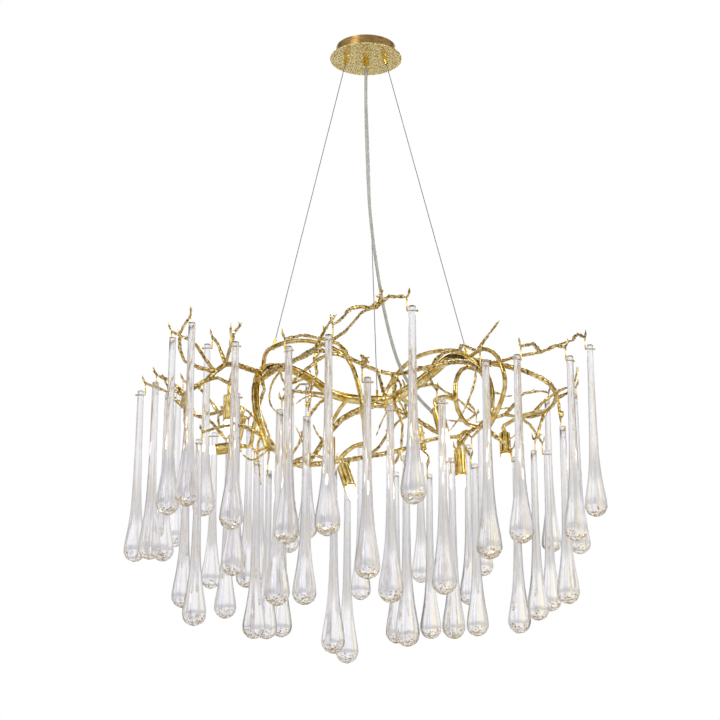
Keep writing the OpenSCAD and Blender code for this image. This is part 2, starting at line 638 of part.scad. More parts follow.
// Depth of each step: they lie closer together towards the bulb
function flare_depth(k) = body_l * pow(k / flare_steps, 0.6);
DROP_OUTLINE = concat(
    [[0, 0], [stem_r - chamfer, 0], [stem_r, -chamfer]],
    [for (k = [1:flare_steps]) let (depth = flare_depth(k))
        [stem_r + (bulb_r - stem_r) * flare(body_l - depth), -depth]],
    [for (k = [1:8]) [bulb_r * cos(90 * k / 8), -drop_l + bulb_r * (1 - sin(90 * k / 8))]]
);
module drop(i) {
    color("lavender", 0.5) difference() {
        translate(TOPS[i]) rotate_extrude($fn = fine) polygon(DROP_OUTLINE);
        aim(pin_at(i) - 2 * stem_d * pin_dir(i), pin_dir(i))
            cylinder(h = 4 * stem_d, d = wire_d + 2 * hook_gap, $fn = 24);
    }
}
module glass_pair(n) {
    drop(2 * n);
    drop(2 * n + 1);
}

ceiling_bracket();
threaded_nipple();
canopy_cup();
canopy_plate();
gripper_nuts();
cord_gland();
terminal_block();
cable_grippers();
gripper_collar(0);  // gripper_collar_left
gripper_collar(1);  // gripper_collar_right
gripper_collar(2);  // gripper_collar_back
suspension_cable(0);  // suspension_cable_left
suspension_cable(1);  // suspension_cable_right
suspension_cable(2);  // suspension_cable_back
power_cord();
cable_anchors();
back_branch();
left_branch();
front_branch();
right_branch();
lower_branch();
arch_tubes();
lamp_arms();
lamp_sleeves();
lamp_sockets();
socket_screws();
lamp_bulbs();
drop_hooks();
for (n = [1:PAIRS]) glass_pair(n - 1);
for (n = [1:len(SINGLE_TOPS)]) drop(2 * PAIRS + n - 1);
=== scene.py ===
import math
import random

import bmesh
import bpy
from mathutils import Matrix, Vector, kdtree, noise


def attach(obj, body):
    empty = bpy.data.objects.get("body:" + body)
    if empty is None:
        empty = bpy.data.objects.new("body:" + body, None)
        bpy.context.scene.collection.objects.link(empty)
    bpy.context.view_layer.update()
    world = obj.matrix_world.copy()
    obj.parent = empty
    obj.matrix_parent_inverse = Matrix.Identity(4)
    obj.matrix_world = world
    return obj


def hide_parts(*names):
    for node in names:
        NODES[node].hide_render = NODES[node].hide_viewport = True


# Looks of a branch chandelier: knotty gold branches, solid glass drops on wire hooks,
# glowing capsule lamps and a textured gold canopy. Everything is in metres.

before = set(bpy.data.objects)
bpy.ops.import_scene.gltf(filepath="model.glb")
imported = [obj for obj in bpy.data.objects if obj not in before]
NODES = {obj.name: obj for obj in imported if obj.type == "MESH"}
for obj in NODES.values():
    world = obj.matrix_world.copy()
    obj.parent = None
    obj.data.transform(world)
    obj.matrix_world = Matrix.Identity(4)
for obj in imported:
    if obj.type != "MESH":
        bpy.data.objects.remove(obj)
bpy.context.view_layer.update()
MM = 0.001

bpy.context.scene.view_settings.view_transform = "Standard"

# Camera

LENS = 75.0
SENSOR = 36.0
CAMERA_AT = (0.0, -2.41, -1.204)
# Degrees upwards
CAMERA_PITCH = 14.8
# The axis of the lamp stands 6 pixels right of the middle of a picture 720 pixels wide
AXIS_OFFSET = -6 / 720

camera_data = bpy.data.cameras.new("camera")
camera_data.lens = LENS
camera_data.sensor_width = SENSOR
camera_data.shift_x = AXIS_OFFSET
camera_data.clip_end = 50
camera = bpy.data.objects.new("camera", camera_data)
camera.location = CAMERA_AT
camera.rotation_euler = (math.radians(90 + CAMERA_PITCH), 0, 0)
bpy.context.scene.collection.objects.link(camera)
bpy.context.scene.camera = camera
bpy.context.view_layer.update()

# Cords: route of the power cord and places of the cable ends, as in part.scad, in millimetres

CORD_ROUTE = [(0, 0, -2), (0, 0, -20), (0, 0, -60), (0, 0, -120), (2, 0, -200), (6, 2, -290),
              (14, 6, -370), (26, 12, -450), (38, 16, -510), (52, 20, -560), (68, 24, -595),
              (88, 29, -625), (110, 32, -648)]
CORD_D = 5.6
CABLE_D = 1.5
PLATE_UNDER = -22.5
GRIPPER_CIRCLE = 36
# Direction of each gripper from the axis, in degrees
CABLE_TURN = (206, 330, 90)
ANCHORS = [(-150, -70, -566), (170, 12, -558), (20, 168, -594)]
CABLE_NAMES = ("left", "right", "back")
# How far a cable begins below its seat and ends before its anchor
CABLE_START = 2
CABLE_STOP = 8
CORD_STEPS = 6
CORD_SIDES = 20


def catmull(points, steps):
    """Smooth curve through the points, the same one that part.scad uses."""
    out = []
    pts = [Vector(p) for p in points]
    last = len(pts) - 1
    for i in range(last):
        a, b, c, d = pts[max(i - 1, 0)], pts[i], pts[i + 1], pts[min(i + 2, last)]
        for k in range(steps):
            t = k / steps
            out.append(0.5 * (2 * b + (c - a) * t + (2 * a - 5 * b + 4 * c - d) * t * t
                              + (3 * b - a - 3 * c + d) * t ** 3))
    out.append(pts[-1])
    return out


def link(obj):
    bpy.context.scene.collection.objects.link(obj)
    return obj


def mesh_object(name, verts, faces):
    mesh = bpy.data.meshes.new(name)
    mesh.from_pydata([tuple(v) for v in verts], [], faces)
    mesh.validate()
    mesh.update()
    for polygon in mesh.polygons:
        polygon.use_smooth = True
    return link(bpy.data.objects.new(name, mesh))


def side_frames(path):
    """Two side directions at each point of a path, without any twist."""
    last = len(path) - 1
    frames = []
    side = None
    for i in range(last + 1):
        ahead = (path[min(i + 1, last)] - path[max(i - 1, 0)]).normalized()
        if side is None:
            side = ahead.cross(Vector((0, 0, 1)) if abs(ahead.z) < 0.9 else Vector((1, 0, 0)))
        side = (side - side.dot(ahead) * ahead).normalized()
        frames.append((side, ahead.cross(side)))
    return frames


def tube_parts(path, radius, sides):
    """Vertices and faces of a closed tube; radius is a function of ring number and angle."""
    verts, faces = [], []
    for i, (p, (a, b)) in enumerate(zip(path, side_frames(path))):
        for k in range(sides):
            turn = 2 * math.pi * k / sides
            r = radius(i, turn)
            verts.append(p + r * (math.cos(turn) * a + math.sin(turn) * b))
    for i in range(len(path) - 1):
        for k in range(sides):
            m = (k + 1) % sides
            low, high = i * sides, (i + 1) * sides
            faces.append((low + k, low + m, high + m, high + k))
    faces.append(tuple(reversed(range(sides))))
    end = (len(path) - 1) * sides
    faces.append(tuple(end + k for k in range(sides)))
    return verts, faces


def tube(name, path, radius, sides):
    verts, faces = tube_parts(path, radius, sides)
    return mesh_object(name, verts, faces)


cord_path = [p * MM for p in catmull(CORD_ROUTE, CORD_STEPS)]
power_cord = tube("cord_jacket", cord_path, lambda i, turn: CORD_D / 2 * MM, CORD_SIDES)
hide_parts("power_cord")
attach(power_cord, "fixture")


# Suspension cables

STRANDS = 6
# Depth of the grooves between the strands, as a share of the radius
GROOVE = 0.16
LAY_LENGTH = 9.0
CABLE_STEP = 1.2
CABLE_SIDES = 18


def strand_radius(i, turn):
    """Outline of a laid steel cable: lobes that turn along its length."""
    lobe = abs(math.cos(STRANDS / 2 * (turn - 2 * math.pi * i * CABLE_STEP / LAY_LENGTH)))
    return CABLE_D / 2 * MM * (1 - GROOVE + GROOVE * lobe)


cables = []
for name, degrees, anchor in zip(CABLE_NAMES, CABLE_TURN, ANCHORS):
    turn = math.radians(degrees)
    seat = Vector((GRIPPER_CIRCLE * math.cos(turn), GRIPPER_CIRCLE * math.sin(turn), PLATE_UNDER))
    end = Vector(anchor)
    along = (end - seat).normalized()
    start, stop = seat + CABLE_START * along, end - CABLE_STOP * along
    count = int((stop - start).length / CABLE_STEP)
    path = [start.lerp(stop, i / count) * MM for i in range(count + 1)]
    cable = tube("cable_" + name, path, strand_radius, CABLE_SIDES)
    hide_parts("suspension_cable_" + name)
    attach(cable, "fixture")
    cables.append(cable)


# Materials: colours are linear, roughness is that of the shader, and each ramp is a list of
# places on the noise, from 0 to 1, with the colour there


def shader(name):
    mat = bpy.data.materials.new(name)
    mat.use_nodes = True
    tree = mat.node_tree
    return mat, tree, tree.nodes["Principled BSDF"]


def node(tree, kind, **values):
    """Adds a node; values go to its settings, or to its inputs where the name is an input's."""
    n = tree.nodes.new(kind)
    for key, value in values.items():
        label = key.replace("_", " ")
        match = [i for i in n.inputs if i.name.lower() == label.lower()]
        if match:
            match[0].default_value = value
        else:
            setattr(n, key, value)
    return n


def join(tree, a, out, b, into):
    tree.links.new(a.outputs[out], b.inputs[into])


def coords(tree, scale=(1, 1, 1), source="Object"):
    where = node(tree, "ShaderNodeTexCoord")
    mapping = node(tree, "ShaderNodeMapping")
    mapping.inputs["Scale"].default_value = scale
    join(tree, where, source, mapping, "Vector")
    return mapping


def ramp(tree, stops):
    r = node(tree, "ShaderNodeValToRGB")
    elements = r.color_ramp.elements
    while len(elements) < len(stops):
        elements.new(0.5)
    for element, (at, colour) in zip(elements, stops):
        element.position = at
        element.color = (*colour, 1)
    return r


def grey(v):
    return (v, v, v)


def bump(tree, bsdf, height, out, strength, distance):
    b = node(tree, "ShaderNodeBump", strength=strength, distance=distance)
    join(tree, height, out, b, "Height")
    join(tree, b, "Normal", bsdf, "Normal")
    return b


def gold(name, dark, mid, light, scale, rough, bump_mm, detail=6.0, stretch=(1, 1, 1)):
    """Cast or polished gold-coloured brass, with grain, dull spots and colour drift; the dark tone of
    the drift is partly painted shade and the light tone partly painted highlights.
    """
    mat, tree, bsdf = shader(name)
    bsdf.inputs["Metallic"].default_value = 1
    place = coords(tree, stretch)
    grain = node(tree, "ShaderNodeTexNoise", scale=scale, detail=detail, roughness=0.6)
    join(tree, place, "Vector", grain, "Vector")
    # The noise moves the colour between uneven tones of the metal, with painted shade at the dark end
    # and painted highlights at the light end
    tone = ramp(tree, [(0.36, dark), (0.50, mid), (0.63, light)])
    join(tree, grain, "Fac", tone, "Fac")
    join(tree, tone, "Color", bsdf, "Base Color")
    # Clouds about three times as wide as the grain, duller and brighter than the rest
    cloud = node(tree, "ShaderNodeTexNoise", scale=scale * 0.31, detail=3.0)
    join(tree, place, "Vector", cloud, "Vector")
    dull = ramp(tree, [(0.35, grey(rough * 0.7)), (0.65, grey(rough * 1.4))])
    join(tree, cloud, "Fac", dull, "Fac")
    join(tree, dull, "Color", bsdf, "Roughness")
    bump(tree, bsdf, grain, "Fac", 0.5, bump_mm * MM)
    return mat


# Each gold has a dark, a mid and a light tone; the dark and light ones are partly painted shade and
# painted highlights
branch_gold = gold("branch_gold", (0.10, 0.048, 0.008), (0.73, 0.49, 0.12), (1.0, 0.89, 0.56),
                   scale=230, rough=0.12, bump_mm=1.1)
limb_gold = gold("limb_gold", (0.46, 0.28, 0.05), (0.80, 0.56, 0.15), (1.0, 0.88, 0.50),
                 scale=60, rough=0.08, bump_mm=0.35, detail=3.0)
pipe_gold = gold("pipe_gold", (0.50, 0.31, 0.06), (0.80, 0.56, 0.15), (1.0, 0.87, 0.48),
                 scale=90, rough=0.10, bump_mm=0.12)
polished_gold = gold("polished_gold", (0.80, 0.52, 0.08), (0.93, 0.66, 0.14), (1.0, 0.80, 0.29),
                     scale=90, rough=0.12, bump_mm=0.10, stretch=(1, 1, 0.4))
satin_gold = gold("satin_gold", (0.27, 0.16, 0.05), (0.37, 0.225, 0.075), (0.47, 0.30, 0.11),
                  scale=60, rough=0.34, bump_mm=0.10, stretch=(1, 1, 14))


def textured_plate():
    """Gold plate with a hammered, grainy face, its colour painted pale on the crests as painted
    highlights and brown in the gaps between them as painted shade.
    """
    mat, tree, bsdf = shader("textured_plate")
    bsdf.inputs["Metallic"].default_value = 1
    place = coords(tree)
    cells = node(tree, "ShaderNodeTexVoronoi", scale=300.0, randomness=1.0)
    join(tree, place, "Vector", cells, "Vector")
    fine = node(tree, "ShaderNodeTexNoise", scale=700.0, detail=3.0)
    join(tree, place, "Vector", fine, "Vector")
    # Depth of the relief: the distance from a crest, plus the fine grain times its share
    relief = node(tree, "ShaderNodeMath", operation="MULTIPLY_ADD")
    join(tree, fine, "Fac", relief, 0)
    relief.inputs[1].default_value = 0.45
    join(tree, cells, "Distance", relief, 2)
    # Painted highlights on the crests and painted shade darkening the gaps between them
    tone = ramp(tree, [(0.40, (1.0, 0.93, 0.55)), (0.68, (1.0, 0.83, 0.34)),
                       (0.94, (0.62, 0.38, 0.09))])
    join(tree, relief, "Value", tone, "Fac")
    join(tree, tone, "Color", bsdf, "Base Color")
    bsdf.inputs["Roughness"].default_value = 0.24
    crests = bump(tree, bsdf, relief, "Value", 1.0, 1.1 * MM)
    crests.invert = True
    return mat


plate_gold = textured_plate()


def steel(name, colour, rough, scale):
    mat, tree, bsdf = shader(name)
    bsdf.inputs["Metallic"].default_value = 1
    place = coords(tree)
    grain = node(tree, "ShaderNodeTexNoise", scale=scale, detail=5.0)
    join(tree, place, "Vector", grain, "Vector")
    tone = ramp(tree, [(0.3, tuple(c * 0.8 for c in colour)), (0.7, colour)])
    join(tree, grain, "Fac", tone, "Fac")
    join(tree, tone, "Color", bsdf, "Base Color")
    dull = ramp(tree, [(0.3, grey(rough * 0.8)), (0.7, grey(rough * 1.25))])
    join(tree, grain, "Fac", dull, "Fac")
    join(tree, dull, "Color", bsdf, "Roughness")
    bump(tree, bsdf, grain, "Fac", 0.25, 0.1 * MM)
    return mat


cable_steel = steel("cable_steel", (0.30, 0.30, 0.31), rough=0.32, scale=1400)
zinc_steel = steel("zinc_steel", (0.62, 0.64, 0.66), rough=0.30, scale=300)


def white_part(name, colour, rough, scale, bump_mm):
    """White ceramic or plastic with a fine grain."""
    mat, tree, bsdf = shader(name)
    place = coords(tree)
    grain = node(tree, "ShaderNodeTexNoise", scale=scale, detail=4.0)
    join(tree, place, "Vector", grain, "Vector")
    tone = ramp(tree, [(0.3, tuple(c * 0.92 for c in colour)), (0.7, colour)])
    join(tree, grain, "Fac", tone, "Fac")
    join(tree, tone, "Color", bsdf, "Base Color")
    bsdf.inputs["Roughness"].default_value = rough
    bump(tree, bsdf, grain, "Fac", 0.3, bump_mm * MM)
    return mat


ceramic_white = white_part("ceramic_white", (0.82, 0.79, 0.74), rough=0.42, scale=900, bump_mm=0.08)
block_white = white_part("block_white", (0.80, 0.78, 0.73), rough=0.38, scale=600, bump_mm=0.05)


def clear_jacket():
    """Clear greyish cord jacket over pale leads."""
    mat, tree, bsdf = shader("clear_jacket")
    place = coords(tree, (1, 1, 0.5))
    cloud = node(tree, "ShaderNodeTexNoise", scale=160.0, detail=3.0)
    join(tree, place, "Vector", cloud, "Vector")
    tone = ramp(tree, [(0.35, (0.50, 0.48, 0.44)), (0.65, (0.66, 0.64, 0.59))])
    join(tree, cloud, "Fac", tone, "Fac")
    join(tree, tone, "Color", bsdf, "Base Color")
    bsdf.inputs["Roughness"].default_value = 0.18
    bsdf.inputs["IOR"].default_value = 1.48
    bsdf.inputs["Transmission Weight"].default_value = 0.2
    bump(tree, bsdf, cloud, "Fac", 0.3, 0.2 * MM)
    return mat


def drop_glass():
    """Solid hand-drawn glass, lilac grey with faint streaks along the drop; its white and golden
    streaks are painted highlights.
    """
    mat, tree, bsdf = shader("drop_glass")
    bsdf.inputs["Roughness"].default_value = 0.02
    bsdf.inputs["IOR"].default_value = 1.47
    bsdf.inputs["Transmission Weight"].default_value = 1
    streaks = coords(tree, (16, 1.3, 1), "UV")
    wave = node(tree, "ShaderNodeTexNoise", scale=1.0, detail=4.0, roughness=0.55)
    join(tree, streaks, "Vector", wave, "Vector")
    bump(tree, bsdf, wave, "Fac", 0.4, 2.2 * MM)
    # The lilac grey is the tint of the glass; the white and golden streaks are painted highlights
    tone = ramp(tree, [(0.30, (0.62, 0.61, 0.70)), (0.43, (0.84, 0.835, 0.90)),
                       (0.52, (0.93, 0.925, 0.965)), (0.59, (0.98, 0.88, 0.65)),
                       (0.64, (0.97, 0.965, 0.985))])
    join(tree, wave, "Fac", tone, "Fac")
    join(tree, tone, "Color", bsdf, "Base Color")
    return mat


def fleck_gold():
    """Pale gold and white grains that sit in the foot of each drop."""
    mat, tree, bsdf = shader("fleck_gold")
    place = coords(tree)
    grain = node(tree, "ShaderNodeTexNoise", scale=330.0, detail=2.0)
    join(tree, place, "Vector", grain, "Vector")
    tone = ramp(tree, [(0.38, (0.70, 0.46, 0.13)), (0.48, (0.92, 0.68, 0.28)),
                       (0.56, (0.96, 0.80, 0.48)), (0.63, (0.97, 0.90, 0.74))])
    join(tree, grain, "Fac", tone, "Fac")
    join(tree, tone, "Color", bsdf, "Base Color")
    bsdf.inputs["Metallic"].default_value = 0.0
    bsdf.inputs["Roughness"].default_value = 0.3
    bump(tree, bsdf, grain, "Fac", 0.4, 0.5 * MM)
    return mat


def glowing_glass():
    """Clear capsule of a lit lamp: warm white light through glass."""
    mat, tree, bsdf = shader("lamp_glow")
    place = coords(tree)
    cloud = node(tree, "ShaderNodeTexNoise", scale=70.0, detail=2.0)
    join(tree, place, "Vector", cloud, "Vector")
    tone = ramp(tree, [(0.3, (1.0, 0.86, 0.62)), (0.7, (1.0, 0.95, 0.84))])
    join(tree, cloud, "Fac", tone, "Fac")
    join(tree, tone, "Color", bsdf, "Base Color")
    join(tree, tone, "Color", bsdf, "Emission Color")
    bsdf.inputs["Emission Strength"].default_value = 5.0
    bsdf.inputs["Roughness"].default_value = 0.08
    return mat


jacket = clear_jacket()
glass = drop_glass()
flecks = fleck_gold()
glow = glowing_glass()


def dress(obj, *mats):
    """Puts materials on a piece or, slot by slot, on a CAD node."""
    slots = obj.data.materials
    if not slots:
        for m in mats:
            slots.append(m)
        return
    for i in range(len(slots)):
        obj.material_slots[i].link = "OBJECT"
        obj.material_slots[i].material = mats[min(i, len(mats) - 1)]


dress(power_cord, jacket)
for cable in cables:
    dress(cable, cable_steel)

CAD_LOOKS = {
    "ceiling_bracket": zinc_steel, "threaded_nipple": polished_gold, "canopy_cup": satin_gold,
    "gripper_nuts": zinc_steel, "cord_gland": polished_gold, "terminal_block": block_white,
    "cable_grippers": polished_gold, "gripper_collar_left": polished_gold,
    "gripper_collar_right": polished_gold, "gripper_collar_back": polished_gold,
    "cable_anchors": polished_gold, "canopy_plate": plate_gold, "lamp_sockets": ceramic_white,
    "socket_screws": zinc_steel,
}
for name, mat in CAD_LOOKS.items():
    dress(NODES[name], mat)


# Branches

BARK_VOXEL = 1.25 * MM
BARK_SMOOTHING = 4
PIPE_VOXEL = 1.0 * MM
PIPE_SMOOTHING = 12
# The smoothing thins the pipes by about this much, which is added again
PIPE_SWELL = 0.45 * MM
# Vertices nearer than this are one
WELD = 1e-6


def islands(obj):
    """Groups of vertex places of a mesh that hang together, one for each separate solid."""
    bm = bmesh.new()
    bm.from_mesh(obj.data)
    bmesh.ops.remove_doubles(bm, verts=bm.verts, dist=WELD)
    bm.verts.ensure_lookup_table()
    seen, groups = set(), []
    for v in bm.verts:
        if v.index in seen:
            continue
        stack, group = [v], []
        seen.add(v.index)
        while stack:
            w = stack.pop()
            group.append(w.co.copy())
            for e in w.link_edges:
                o = e.other_vert(w)
                if o.index not in seen:
                    seen.add(o.index)
                    stack.append(o)
        groups.append(group)
    bm.free()
    return groups


# Middle of the thick main limb and its size, as in part.scad, from the middle of the wreath
FRAME_DROP = 600
LIMB_D = 18
MAIN_LIMB = [(-155, -90, -135), (-175, -60, -70), (-180, -20, -15), (-170, 30, 25),
             (-135, 80, 40), (-95, 120, 30), (-55, 150, 10), (-5, 170, 5), (40, 165, 5),
             (80, 140, 20), (115, 110, 40), (145, 70, 55), (170, 20, 40), (190, -20, 15),
             (200, -60, -35), (195, -80, -85), (190, -70, -115)]
LIMB_STEPS = 12
LIMB_SIDES = 40
# Share of its full radius that the limb keeps at its ends, and the power of its taper
LIMB_END = 0.5
LIMB_TAPER = 0.6
# Swellings along the limb: height as a share of the radius, and number of half waves
LIMB_WAVE = 0.06
LIMB_HALF_WAVES = 5


def wreath_path(points, steps):
    """Smooth path in metres through points in millimetres from the middle of the wreath."""
    return [(p - Vector((0, 0, FRAME_DROP))) * MM for p in catmull(points, steps)]


main_path = wreath_path(MAIN_LIMB, LIMB_STEPS)
main_tree = kdtree.KDTree(len(main_path))
for i, p in enumerate(main_path):
    main_tree.insert(p, i)
main_tree.balance()

# Share of the bark on the main limb, distance from its middle where more of it begins, and
# the distance over which it grows to the full bark, in millimetres
LIMB_BARK = 0.22
BARK_FROM = 9.5
BARK_GROWTH = 4
# Faces with less of the bark than this have the smooth look of the main limb
SMOOTH_BELOW = 0.6
# Height of knots and grain in millimetres, and their fineness
KNOTS, KNOTS_SCALE = 0.9, 170
GRAIN, GRAIN_SCALE, GRAIN_OCTAVES = 0.5, 420, 2


def bark_share(p):
    """The main limb is almost smooth; the twigs have the full bark."""
    away = main_tree.find(p)[2] / MM
    return LIMB_BARK + (1 - LIMB_BARK) * min(1.0, max(0.0, (away - BARK_FROM) / BARK_GROWTH))


def main_limb_parts():
    """Round tube on the thick main limb, with the radius it has in part.scad."""
    last = len(main_path) - 1

    def radius(i, turn):
        share = i / last
        taper = LIMB_END + (1 - LIMB_END) * max(0.0, math.sin(math.pi * share)) ** LIMB_TAPER
        wave = 1 + LIMB_WAVE * math.sin(LIMB_HALF_WAVES * math.pi * share)
        return MM * LIMB_D / 2 * taper * wave

    return tube_parts(main_path, radius, LIMB_SIDES)


# Thin side twigs of three branches, in millimetres from the middle of the wreath
TWIGLETS = {
    "back": [[(-142, 75, 38), (-157, 70, 16), (-163, 62, -7), (-162, 58, -27), (-151, 50, -44),
              (-137, 45, -52)],
             [(-147, 66, 34), (-141, 60, 13), (-130, 55, -5), (-120, 48, -21)],
             [(-54, 150, 9), (-70, 140, 1), (-90, 128, 2), (-107, 118, -4), (-121, 108, -17)],
             [(181, -3, 27), (180, -8, -4), (167, -12, -42), (154, -14, -67), (137, -16, -90)],
             [(167, -12, -42), (179, -10, -58), (170, -12, -70), (160, -14, -74), (145, -15, -74),
              (131, -16, -73)],
             [(200, -60, -35), (213, -58, -38), (226, -50, -41), (238, -44, -38)],
             [(198, -73, -66), (214, -76, -68), (233, -80, -66)],
             [(194, -75, -105), (208, -80, -118), (220, -86, -124), (237, -92, -112)],
             [(-154, -90, -134), (-163, -92, -146), (-179, -96, -155), (-194, -100, -146)],
             [(-165, -79, -110), (-171, -80, -123), (-172, -82, -144), (-168, -84, -168),
              (-165, -86, -193)]],
    "lower": [[(-91, -19, -146), (-99, -14, -119), (-108, -8, -98), (-116, -4, -79)],
              [(-74, 108, -82), (-84, 106, -69), (-91, 100, -54)],
              [(70, 86, -43), (54, 74, -56), (44, 62, -74), (42, 50, -96), (48, 42, -114)]],
    "front": [[(40, -230, -50), (52, -226, -64), (49, -222, -85), (30, -218, -107), (15, -212, -141)],
              [(49, -221, -88), (55, -218, -98), (60, -216, -106)],
              [(45, -230, -51), (40, -229, -63), (40, -229, -77)]],
}


TWIG_STEPS = 5
TWIG_SIDES = 8
# Radius at the foot of a twig, what it loses up to its end, and how far a knot stands out
TWIG_R = 2.7
TWIG_LOSS = 1.3
TWIG_KNOT = 1.14


def twiglet_parts(points):
    """Thin twig through points from the middle of the wreath, with a knot in each stretch."""
    path = wreath_path(points, TWIG_STEPS)
    last = len(path) - 1

    def radius(i, turn):
        knot = TWIG_KNOT if i % TWIG_STEPS == TWIG_STEPS // 2 else 1.0
        return MM * (TWIG_R - TWIG_LOSS * i / last) * knot

    return tube_parts(path, radius, TWIG_SIDES)


def remeshed(name, source, voxel, smooth_steps, grown=(), swell=0.0):
    """Even, rounded copy of a faceted CAD node, with more tubes grown on it."""
    bm = bmesh.new()
    bm.from_mesh(NODES[source].data)
    bmesh.ops.remove_doubles(bm, verts=bm.verts, dist=WELD)
    for verts, faces in grown:
        made = [bm.verts.new(v) for v in verts]
        for face in faces:
            bm.faces.new([made[i] for i in face])
    mesh = bpy.data.meshes.new(name + "_raw")
    bm.to_mesh(mesh)
    bm.free()
    raw = link(bpy.data.objects.new(name + "_raw", mesh))
    remesh = raw.modifiers.new("remesh", "REMESH")
    remesh.mode = "VOXEL"
    remesh.voxel_size = voxel
    soften = raw.modifiers.new("soften", "SMOOTH")
    soften.factor = 0.5
    soften.iterations = smooth_steps
    if swell:
        fatten = raw.modifiers.new("fatten", "DISPLACE")
        fatten.mid_level = 0
        fatten.strength = swell
    graph = bpy.context.evaluated_depsgraph_get()
    made = bpy.data.meshes.new_from_object(raw.evaluated_get(graph))
    bpy.data.objects.remove(raw)
    made.name = name
    made.materials.clear()
    for polygon in made.polygons:
        polygon.use_smooth = True
    return link(bpy.data.objects.new(name, made))


def add_bark(obj):
    """Knots and grain of cast bark, moved along the normals of a mesh."""
    mesh = obj.data
    normals = [v.normal.copy() for v in mesh.vertices]
    for v, n in zip(mesh.vertices, normals):
        p = v.co
        knots = noise.noise(p * KNOTS_SCALE)
        ridge = noise.turbulence(p * GRAIN_SCALE, GRAIN_OCTAVES, False)
        v.co = p + n * MM * bark_share(p) * (KNOTS * knots + GRAIN * (ridge - 0.5))
    mesh.update()


for name in ("back", "left", "front", "right", "lower"):
    grown = [twiglet_parts(points) for points in TWIGLETS.get(name, ())]
    if name == "back":
        grown.append(main_limb_parts())
    piece = remeshed(name + "_bark", name + "_branch", BARK_VOXEL, BARK_SMOOTHING, grown)
    for polygon in piece.data.polygons:
        polygon.material_index = 1 if bark_share(polygon.center) < SMOOTH_BELOW else 0
    add_bark(piece)
    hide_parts(name + "_branch")
    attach(piece, "fixture")
    dress(piece, branch_gold, limb_gold)

for name, source in (("arch_pipes", "arch_tubes"), ("arm_pipes", "lamp_arms")):
    piece = remeshed(name, source, PIPE_VOXEL, PIPE_SMOOTHING, swell=PIPE_SWELL)
    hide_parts(source)
    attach(piece, "fixture")
    dress(piece, pipe_gold)


# Lamps

# Foot and direction of each lamp, and its sizes, as in part.scad, in millimetres
LAMPS = [((-220, -60, -42), (0, 0, -1)), ((-205, 8, -112), (-1, 0.1, -0.1)),
         ((-35, -165, -178), (0.27, -0.41, -0.87)), ((152, -15, -122), (0.05, 0.1, -1)),
         ((232, 50, -82), (0, -0.3, -0.95)), ((110, -150, -85), (0.2, -0.3, -0.93)),
         ((-64, 195, -55), (0, 0.25, -0.97)), ((90, 185, -40), (0.2, 0.2, -0.95)),
         ((-215, 110, -40), (-0.2, 0.1, -0.97))]
SLEEVE_R, SLEEVE_L, SLEEVE_WALL, SLEEVE_FLOOR = 9.5, 42, 1.0, 1.5
SOCKET_L, BASE_L, CAPSULE_R, CAPSULE_L = 20, 8, 6.25, 34
LEAD_HOLE_R = 1.5
SLEEVE_SIDES = 48
BULB_SIDES = 32
DOME_RINGS = 10


def turned(name, rows, sides, closed):
    """Turned pieces at every lamp: rows are radius and height along the lamp, in millimetres."""
    verts, faces = [], []
    for foot, aim in LAMPS:
        base = (Vector(foot) - Vector((0, 0, FRAME_DROP))) * MM
        tilt = Vector(aim).to_track_quat("Z", "Y")
        start = len(verts)
        for r, h in rows:
            for k in range(sides):
                turn = 2 * math.pi * k / sides
                place = MM * Vector((r * math.cos(turn), r * math.sin(turn), h))
                verts.append(base + tilt @ place)
        count = len(rows)
        for i in range(count if closed else count - 1):
            j = (i + 1) % count
            for k in range(sides):
                m = (k + 1) % sides
                faces.append((start + i * sides + k, start + i * sides + m,
                              start + j * sides + m, start + j * sides + k))
        if not closed:
            faces.append(tuple(start + k for k in reversed(range(sides))))
            faces.append(tuple(start + (count - 1) * sides + k for k in range(sides)))
    return mesh_object(name, verts, faces)


inner = SLEEVE_R - SLEEVE_WALL
# Floor with its rounded edge, the wall with a groove near the mouth, the mouth, and the inside
SLEEVE_ROWS = [(LEAD_HOLE_R, 0), (SLEEVE_R - 0.9, 0), (SLEEVE_R - 0.3, 0.3), (SLEEVE_R, 0.9),
               (SLEEVE_R, 1.2), (SLEEVE_R - 0.01, SLEEVE_L - 5), (SLEEVE_R, SLEEVE_L - 3.6),
               (SLEEVE_R - 0.5, SLEEVE_L - 3.3), (SLEEVE_R - 0.5, SLEEVE_L - 2.9),
               (SLEEVE_R, SLEEVE_L - 2.6), (SLEEVE_R, SLEEVE_L - 0.4), (SLEEVE_R - 0.3, SLEEVE_L),
               (inner + 0.3, SLEEVE_L), (inner, SLEEVE_L - 0.4), (inner, SLEEVE_FLOOR + 0.3),
               (inner - 0.3, SLEEVE_FLOOR), (LEAD_HOLE_R, SLEEVE_FLOOR)]
sleeves = turned("brass_sleeves", SLEEVE_ROWS, SLEEVE_SIDES, closed=True)
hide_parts("lamp_sleeves")
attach(sleeves, "fixture")
dress(sleeves, pipe_gold)

low_end = SLEEVE_FLOOR + SOCKET_L
neck = low_end + BASE_L
tip = neck + CAPSULE_L
